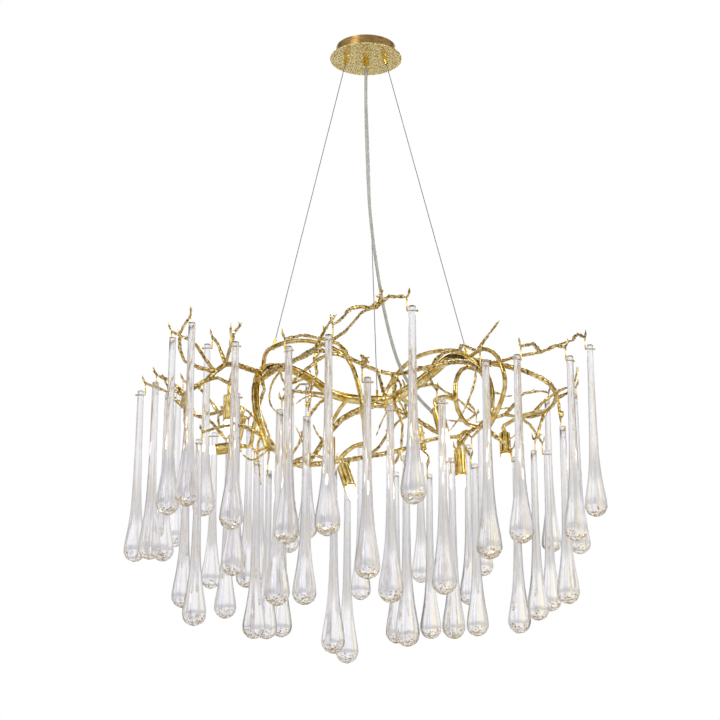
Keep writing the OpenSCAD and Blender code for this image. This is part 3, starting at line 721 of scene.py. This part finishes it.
# Pinched base, shoulder and straight wall, then the dome and the drawn-off tip
BULB_ROWS = [(3.4, low_end), (4.0, low_end + 0.3), (4.1, neck - 2), (4.7, neck),
             (CAPSULE_R * 0.93, neck + 1.5), (CAPSULE_R, neck + 3.5), (CAPSULE_R, tip - CAPSULE_R)]
for k in range(1, DOME_RINGS):
    rise = math.pi / 2 * k / DOME_RINGS
    BULB_ROWS.append((CAPSULE_R * math.cos(rise), tip - CAPSULE_R * (1 - math.sin(rise))))
BULB_ROWS += [(0.9, tip + 0.2), (0.5, tip + 0.5)]
bulbs = turned("capsule_bulbs", BULB_ROWS, BULB_SIDES, closed=False)
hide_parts("lamp_bulbs")
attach(bulbs, "fixture")
dress(bulbs, glow)

# Glass drops and hooks: the sizes of a drop in millimetres, as in part.scad

STEM_R = 5.25
BULB_R = 18.0
DROP_L = 282.0
BODY_L = DROP_L - BULB_R
NECK_L = 46.0
NECK_POWER = 1.8
HOLE_DEPTH = 7.0
HOLE_D = 2.7
SIDES = 44
BODY_RINGS = 36
# Below 1, the rings of the body lie closer to each other towards the foot
RING_POWER = 0.75
CAP_RINGS = 18

# Lumps of the foot: where they begin and how soon they are full, as shares of the length,
# their fineness round the drop and along it, and the height of coarse and fine ones
LUMP_FROM = 0.90
LUMP_GROWTH = 0.06
LUMP_ROUND = 2.6
LUMP_ALONG = 42
LUMP_SEED_STEP = 7.3
LUMP_COARSE = 0.75
LUMP_FINE, LUMP_FINER = 0.45, 2.3

# A drop is drawn thinner than in CAD by this share, as its flutes stand out again
SLIMMER = 0.012
# Height of the flutes and of the ripple, as shares of the radius, and the lean in millimetres
FLUTE = (0.012, 0.026)
RIPPLE = 0.010
LEAN = (-0.5, 0.5)


def fall(h):
    """Share of the full swelling at a height above the middle of the foot."""
    return 1 / (1 + (h / NECK_L) ** NECK_POWER)


def drop_profile():
    """Radius and depth below the top in millimetres, from the top to the foot, as in part.scad."""
    rows = [(STEM_R * 0.6, 0.15), (STEM_R * 0.9, 0.0), (STEM_R, 0.5), (STEM_R * 1.05, 1.5),
            (STEM_R, 3.0), (STEM_R, HOLE_DEPTH)]
    for k in range(1, BODY_RINGS):
        depth = HOLE_DEPTH + (BODY_L - HOLE_DEPTH) * (k / BODY_RINGS) ** RING_POWER
        share = (fall(BODY_L - depth) - fall(BODY_L)) / (1 - fall(BODY_L))
        rows.append((STEM_R + (BULB_R - STEM_R) * share, depth))
    for k in range(CAP_RINGS):
        turn = math.pi / 2 * k / CAP_RINGS
        rows.append((BULB_R * math.cos(turn), DROP_L - BULB_R * (1 - math.sin(turn))))
    return rows


def foot_lump(turn, s, seed):
    """Knobbly foot of a drop, in millimetres: nothing above it, most at the very bottom."""
    share = min(1.0, max(0.0, (s - LUMP_FROM) / LUMP_GROWTH))
    at = Vector((math.cos(turn) * LUMP_ROUND, math.sin(turn) * LUMP_ROUND,
                 seed * LUMP_SEED_STEP + s * LUMP_ALONG))
    return share * (LUMP_COARSE * noise.noise(at) + LUMP_FINE * noise.noise(at * LUMP_FINER))


def drop_parts(top, seed):
    """Vertices, faces and UV places of one drawn glass drop, a little uneven as glass is."""
    rng = random.Random(seed)
    # Six draws of which three are used, so that the draws after them keep their values
    phase = [rng.uniform(0, 2 * math.pi) for _ in range(6)]
    flute = rng.uniform(*FLUTE)
    lean = Vector((rng.uniform(*LEAN), rng.uniform(*LEAN), 0))
    verts, faces, uvs = [], [], []
    profile = drop_profile()
    for r, depth in profile:
        s = depth / DROP_L
        # The head stays round where the pin goes through it
        hold = min(1.0, s * 8)
        for k in range(SIDES):
            turn = 2 * math.pi * k / SIDES
            # Three and five flutes round the drop, which twist along it, and a ripple down it
            wave = flute * math.sin(3 * turn + phase[0] + 1.5 * s)
            wave += 0.7 * flute * math.sin(5 * turn + phase[1] - 2 * s)
            wave += RIPPLE * math.sin(11 * s + phase[2])
            radius = r * (1 - SLIMMER + wave * hold) + foot_lump(turn, s, seed)
            sway = lean * math.sin(math.pi * s)
            place = Vector((radius * math.cos(turn), radius * math.sin(turn), -depth))
            verts.append(top + MM * (place + sway))
            uvs.append((k / SIDES, s))
    rings = len(profile)
    for i in range(rings - 1):
        for k in range(SIDES):
            m = (k + 1) % SIDES
            low, high = i * SIDES, (i + 1) * SIDES
            faces.append((low + k, high + k, high + m, low + m))
    faces.append(tuple(range(SIDES)))
    last = (rings - 1) * SIDES
    verts.append(top - MM * Vector((0, 0, DROP_L)))
    uvs.append((0.5, 1))
    for k in range(SIDES):
        faces.append((last + k, rings * SIDES, last + (k + 1) % SIDES))
    return verts, faces, uvs


def set_uvs(obj, uvs):
    """UV places round and along a drop, without a jump where the turn begins again."""
    layer = obj.data.uv_layers.new(name="along")
    for polygon in obj.data.polygons:
        us = [uvs[obj.data.loops[i].vertex_index][0] for i in polygon.loop_indices]
        wraps = max(us) - min(us) > 0.5
        for i in polygon.loop_indices:
            u, v = uvs[obj.data.loops[i].vertex_index]
            layer.data[i].uv = (u + 1 if wraps and u < 0.5 else u, v)


DRILL_SIDES = 16
DRILL_REACH = 12 * MM


def drilled(obj, at, along):
    """The object with a round cross hole through it, as a new mesh."""
    n = DRILL_SIDES
    across = Vector((-along.y, along.x, 0)).normalized()
    up = Vector((0, 0, 1))
    turns = [2 * math.pi * k / n for k in range(n)]
    rim = [HOLE_D / 2 * MM * (math.cos(turn) * across + math.sin(turn) * up) for turn in turns]
    ends = (at - along * DRILL_REACH, at + along * DRILL_REACH)
    verts = [end + place for end in ends for place in rim]
    walls = [(k, (k + 1) % n, n + (k + 1) % n, n + k) for k in range(n)]
    lids = [tuple(reversed(range(n))), tuple(range(n, 2 * n))]
    drill = mesh_object("drill", verts, walls + lids)
    cut = obj.modifiers.new("hole", "BOOLEAN")
    cut.operation = "DIFFERENCE"
    cut.solver = "EXACT"
    cut.object = drill
    graph = bpy.context.evaluated_depsgraph_get()
    made = bpy.data.meshes.new_from_object(obj.evaluated_get(graph))
    name = obj.name
    bpy.data.objects.remove(obj)
    bpy.data.objects.remove(drill)
    for polygon in made.polygons:
        polygon.use_smooth = True
    return link(bpy.data.objects.new(name, made))


# One grain is a body of twenty faces, whose corners follow from the golden ratio
GOLDEN = (1 + math.sqrt(5)) / 2
FLECK = [Vector(v).normalized() for v in (
    (-1, GOLDEN, 0), (1, GOLDEN, 0), (-1, -GOLDEN, 0), (1, -GOLDEN, 0),
    (0, -1, GOLDEN), (0, 1, GOLDEN), (0, -1, -GOLDEN), (0, 1, -GOLDEN),
    (GOLDEN, 0, -1), (GOLDEN, 0, 1), (-GOLDEN, 0, -1), (-GOLDEN, 0, 1))]
FLECK_FACES = [(0, 11, 5), (0, 5, 1), (0, 1, 7), (0, 7, 10), (0, 10, 11),
               (1, 5, 9), (5, 11, 4), (11, 10, 2), (10, 7, 6), (7, 1, 8),
               (3, 9, 4), (3, 4, 2), (3, 2, 6), (3, 6, 8), (3, 8, 9),
               (4, 9, 5), (2, 4, 11), (6, 2, 10), (8, 6, 7), (9, 8, 1)]
FLECKS = 120
# Half the length of a grain in millimetres, and its other two sizes as shares of that
FLECK_SIZE = (0.8, 1.8)
FLECK_WIDTH = (0.5, 1.0)
FLECK_DEPTH = (0.6, 1.0)
# How far the grains climb from the bottom towards the widest place, and how they crowd below
FLECK_CLIMB = 0.86
FLECK_CROWDING = 1.1
# Reach of the outermost grains as a share of the foot's radius, and how far a grain sinks
# below that, as a share of its own size
FLECK_SHELL = 0.985
FLECK_SINK = (0.1, 1.2)
# Almost a full turn, in radians
FLECK_SPIN = (0, 6.28)


def fleck_parts(top, seed, verts, faces):
    """Adds the gold grains in the foot of a drop, thickest at the very bottom."""
    # A row of draws of its own for each drop, apart from the one for its glass
    rng = random.Random(seed * 31 + 7)
    for _ in range(FLECKS):
        turn = rng.uniform(0, 2 * math.pi)
        angle = math.pi / 2 * (1 - FLECK_CLIMB * rng.random() ** FLECK_CROWDING)
        size = rng.uniform(*FLECK_SIZE)
        reach = BULB_R * FLECK_SHELL - size * rng.uniform(*FLECK_SINK)
        out = reach * math.cos(angle)
        centre = Vector((out * math.cos(turn), out * math.sin(turn),
                         -DROP_L + BULB_R - reach * math.sin(angle)))
        roll = Matrix.Rotation(rng.uniform(*FLECK_SPIN), 3, "X")
        spin = roll @ Matrix.Rotation(rng.uniform(*FLECK_SPIN), 3, "Z")
        shape = Vector((size, size * rng.uniform(*FLECK_WIDTH), size * rng.uniform(*FLECK_DEPTH)))
        start = len(verts)
        verts.extend(top + MM * (centre + spin @ (v * shape)) for v in FLECK)
        faces.extend(tuple(start + i for i in face) for face in FLECK_FACES)


def crystal(name, holes, seed):
    """The drops of one CAD node, one or two: drilled glass with gold grains in the foot."""
    parts = []
    for n, (top, pin, along) in enumerate(holes):
        verts, faces, uvs = drop_parts(top, seed + n)
        obj = mesh_object(name + "_part", verts, faces)
        set_uvs(obj, uvs)
        parts.append(drilled(obj, pin, along))
    bm = bmesh.new()
    for obj in parts:
        bm.from_mesh(obj.data)
        bpy.data.objects.remove(obj)
    verts, faces = [], []
    for n, (top, _, _) in enumerate(holes):
        fleck_parts(top, seed + n, verts, faces)
    made = [bm.verts.new(v) for v in verts]
    for face in faces:
        grain = bm.faces.new([made[i] for i in face])
        grain.material_index = 1
        grain.smooth = False
    mesh = bpy.data.meshes.new(name)
    bm.to_mesh(mesh)
    bm.free()
    return link(bpy.data.objects.new(name, mesh))


# Corners this near to the highest one belong to the top of a post
CROWN = 0.5 * MM
# Usual height of a post's top over its drop, and how much a miss in height counts against
# one to the side when the post of a drop is looked for
POST_RISE = 13 * MM
HEIGHT_WEIGHT = 3
# Room for the seeds of the drops of one node
SEED_STEP = 10


def post_tops():
    """Top of the post of each hook, read from the CAD node."""
    found = []
    for group in islands(NODES["drop_hooks"]):
        peak = max(p.z for p in group)
        crown = [p for p in group if p.z > peak - CROWN]
        found.append(sum(crown, Vector()) / len(crown))
    return found


def kind_and_number(name):
    """Sorts glass_drop_2 before glass_drop_10, and all of those before the pairs."""
    _, kind, number = name.split("_")
    return kind, int(number)


def nearest_post(tops, top):
    """The post that carries the drop whose top is given."""
    def miss(post):
        return (post - top).xy.length + HEIGHT_WEIGHT * abs(post.z - top.z - POST_RISE)
    return min(tops, key=miss)


hook_tops = post_tops()
hooks = []
glass_nodes = sorted((n for n in NODES if n.startswith("glass_")), key=kind_and_number)
for number, name in enumerate(glass_nodes):
    holes = []
    for group in islands(NODES[name]):
        xs, ys, zs = ([p[a] for p in group] for a in range(3))
        top = Vector(((min(xs) + max(xs)) / 2, (min(ys) + max(ys)) / 2, max(zs)))
        post = nearest_post(hook_tops, top)
        along = Vector((post.x - top.x, post.y - top.y, 0)).normalized()
        pin = top - Vector((0, 0, HOLE_DEPTH * MM))
        holes.append((top, pin, along))
        hooks.append((post, pin, along))
    piece = crystal(name.replace("glass", "crystal"), holes, SEED_STEP * number)
    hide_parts(name)
    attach(piece, name)
    dress(piece, glass, flecks)


WIRE_R = 1.1 * MM
WIRE_SIDES = 12
BEND = 2.6 * MM
BEND_STEPS = 6
# The wire ends inside its ball, at this share of the way to the ball's middle
WIRE_SHARE = 0.92
END_BALL = 1.85 * MM
# A second ball keeps the drop off the bend, this many stem radii from the middle of the pin
STOP_BALL = 1.6 * MM
STOP_AT = 1.25


def wire_hook(post, pin, along):
    """Bent wire hook: down from the twig, round a bend and through the drop to a ball end."""
    side = Vector((post.x - pin.x, post.y - pin.y, 0)).length
    corner = pin + along * side
    path = [post, post.lerp(corner, 0.4), corner + Vector((0, 0, BEND))]
    for k in range(1, BEND_STEPS + 1):
        turn = math.pi / 2 * k / BEND_STEPS
        rise = Vector((0, 0, BEND * (1 - math.sin(turn))))
        path.append(corner + rise - along * BEND * (1 - math.cos(turn)))
    path += [pin, pin - along * side * WIRE_SHARE]
    verts, faces = tube_parts(path, lambda i, turn: WIRE_R, WIRE_SIDES)
    return verts, faces, pin - along * side


def add_ball(bm, at, radius):
    end = bmesh.ops.create_icosphere(bm, subdivisions=2, radius=radius,
                                     matrix=Matrix.Translation(at))
    for v in end["verts"]:
        for face in v.link_faces:
            face.smooth = True


def all_hooks():
    """Every wire hook with its two balls, in one piece."""
    bm = bmesh.new()
    for post, pin, along in hooks:
        verts, faces, ball = wire_hook(post, pin, along)
        made = [bm.verts.new(v) for v in verts]
        for face in faces:
            bm.faces.new([made[i] for i in face]).smooth = True
        add_ball(bm, ball, END_BALL)
        add_ball(bm, pin + along * STEM_R * STOP_AT * MM, STOP_BALL)
    mesh = bpy.data.meshes.new("wire_hooks")
    bm.to_mesh(mesh)
    bm.free()
    return link(bpy.data.objects.new("wire_hooks", mesh))


wire_hooks = all_hooks()
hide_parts("drop_hooks")
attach(wire_hooks, "fixture")
dress(wire_hooks, pipe_gold)

# Floor, light and world

FLOOR_Z = -1.75
FLOOR_R = 2.6
# The floor fades out between these distances from its middle
FADE_FROM = 1.0
FADE_TO = 2.4
FLOOR_CORNERS = [(-FLOOR_R, -FLOOR_R, FLOOR_Z), (FLOOR_R, -FLOOR_R, FLOOR_Z),
                 (FLOOR_R, FLOOR_R, FLOOR_Z), (-FLOOR_R, FLOOR_R, FLOOR_Z)]
floor = mesh_object("floor", FLOOR_CORNERS, [(0, 1, 2, 3)])


def floor_look():
    """Pale matt floor that fades out away from the lamp."""
    mat, tree, bsdf = shader("pale_floor")
    bsdf.inputs["Base Color"].default_value = (0.90, 0.90, 0.91, 1)
    bsdf.inputs["Roughness"].default_value = 0.85
    place = coords(tree)
    away = node(tree, "ShaderNodeVectorMath", operation="LENGTH")
    flat = node(tree, "ShaderNodeVectorMath", operation="MULTIPLY")
    flat.inputs[1].default_value = (1, 1, 0)
    join(tree, place, "Vector", flat, 0)
    join(tree, flat, "Vector", away, "Vector")
    fade = node(tree, "ShaderNodeMapRange", interpolation_type="SMOOTHSTEP")
    fade.inputs["From Min"].default_value = FADE_FROM
    fade.inputs["From Max"].default_value = FADE_TO
    fade.inputs["To Min"].default_value = 1
    fade.inputs["To Max"].default_value = 0
    join(tree, away, "Value", fade, "Value")
    join(tree, fade, "Result", bsdf, "Alpha")
    return mat


dress(floor, floor_look())

# Brightness of the studio from straight below to straight up: pale panels with dark gaps
PANELS = [(0.0, 0.30), (0.12, 0.8), (0.17, 0.12), (0.22, 0.14), (0.25, 1.0), (0.325, 1.0),
          (0.345, 0.03), (0.395, 0.04), (0.42, 1.0), (0.50, 1.0), (0.525, 0.22), (0.56, 0.22),
          (0.585, 1.0), (0.745, 0.92), (0.765, 0.04), (0.815, 0.05), (0.84, 1.0), (0.92, 1.0),
          (0.95, 0.3), (1.0, 0.3)]
# Brightness by the direction round the lamp, from front and back at 0 to the sides at 1
FLAGS = [(0.0, 1.0), (0.30, 1.0), (0.35, 0.35), (0.42, 0.35), (0.47, 1.0), (0.70, 1.0),
         (0.76, 0.06), (0.88, 0.06), (0.95, 1.0)]
STUDIO_STRENGTH = 1.15
# How much of the white background shows in what is seen through glass
GLASS_WHITE = 0.62
WHITE = (1, 1, 1, 1)


def grey_ramp(tree, stops):
    return ramp(tree, [(at, grey(value)) for at, value in stops])


def studio_shade(tree):
    """Panels over the height, dimmed by dark flags round the lamp, as one colour."""
    sky = node(tree, "ShaderNodeTexCoord")
    split = node(tree, "ShaderNodeSeparateXYZ")
    join(tree, sky, "Generated", split, "Vector")
    height = node(tree, "ShaderNodeMapRange")
    height.inputs["From Min"].default_value = -1
    height.inputs["From Max"].default_value = 1
    join(tree, split, "Z", height, "Value")
    panels = grey_ramp(tree, PANELS)
    join(tree, height, "Result", panels, "Fac")
    across = node(tree, "ShaderNodeMath", operation="ABSOLUTE")
    join(tree, split, "X", across, 0)
    level = node(tree, "ShaderNodeCombineXYZ")
    join(tree, split, "X", level, "X")
    join(tree, split, "Y", level, "Y")
    reach = node(tree, "ShaderNodeVectorMath", operation="LENGTH")
    join(tree, level, "Vector", reach, "Vector")
    share = node(tree, "ShaderNodeMath", operation="DIVIDE")
    join(tree, across, "Value", share, 0)
    join(tree, reach, "Value", share, 1)
    flags = grey_ramp(tree, FLAGS)
    join(tree, share, "Value", flags, "Fac")
    shade = node(tree, "ShaderNodeMixRGB", blend_type="MULTIPLY")
    shade.inputs["Fac"].default_value = 1
    join(tree, panels, "Color", shade, "Color1")
    join(tree, flags, "Color", shade, "Color2")
    return shade


def studio_world():
    """White to the camera, panels and flags to the metal, and a paler form of them to glass."""
    world = bpy.data.worlds.new("studio")
    bpy.context.scene.world = world
    world.use_nodes = True
    tree = world.node_tree
    tree.nodes.clear()
    ray = node(tree, "ShaderNodeLightPath")
    shade = studio_shade(tree)

    lit = node(tree, "ShaderNodeBackground")
    lit.inputs["Strength"].default_value = STUDIO_STRENGTH
    join(tree, shade, "Color", lit, "Color")

    through = node(tree, "ShaderNodeMath", operation="MULTIPLY")
    through.inputs[1].default_value = GLASS_WHITE
    join(tree, ray, "Is Transmission Ray", through, 0)
    pale = node(tree, "ShaderNodeMixRGB")
    pale.inputs["Color2"].default_value = WHITE
    join(tree, shade, "Color", pale, "Color1")
    join(tree, through, "Value", pale, "Fac")
    backdrop = node(tree, "ShaderNodeMixRGB")
    backdrop.inputs["Color2"].default_value = WHITE
    join(tree, pale, "Color", backdrop, "Color1")
    join(tree, ray, "Is Camera Ray", backdrop, "Fac")
    seen = node(tree, "ShaderNodeBackground")
    seen.inputs["Strength"].default_value = 1.0
    join(tree, backdrop, "Color", seen, "Color")

    mirrored = node(tree, "ShaderNodeMath", operation="MAXIMUM")
    join(tree, ray, "Is Glossy Ray", mirrored, 0)
    join(tree, ray, "Is Transmission Ray", mirrored, 1)
    looked_at = node(tree, "ShaderNodeMath", operation="MAXIMUM")
    join(tree, ray, "Is Camera Ray", looked_at, 0)
    join(tree, mirrored, "Value", looked_at, 1)
    mix = node(tree, "ShaderNodeMixShader")
    join(tree, looked_at, "Value", mix, "Fac")
    join(tree, lit, "Background", mix, 1)
    join(tree, seen, "Background", mix, 2)
    out = node(tree, "ShaderNodeOutputWorld")
    join(tree, mix, "Shader", out, "Surface")


studio_world()


def area_light(name, at, target, size, power):
    data = bpy.data.lights.new(name, "AREA")
    data.shape = "RECTANGLE"
    data.size, data.size_y = size
    data.energy = power
    lamp = link(bpy.data.objects.new(name, data))
    lamp.location = at
    lamp.rotation_euler = (Vector(target) - Vector(at)).to_track_quat("-Z", "Y").to_euler()
    # The glass shows the pale surroundings and not the square of the lamp itself
    lamp.visible_transmission = False


# Place, size and power in watts of each studio lamp; all of them aim at the middle
MIDDLE = (0, 0, -0.7)
area_light("key", (-2.2, -2.4, 0.9), MIDDLE, (1.4, 1.4), 28)
area_light("fill", (2.6, -1.8, 0.2), MIDDLE, (1.6, 1.6), 22)
area_light("rim", (0.6, 2.6, 0.8), MIDDLE, (1.8, 1.0), 22)
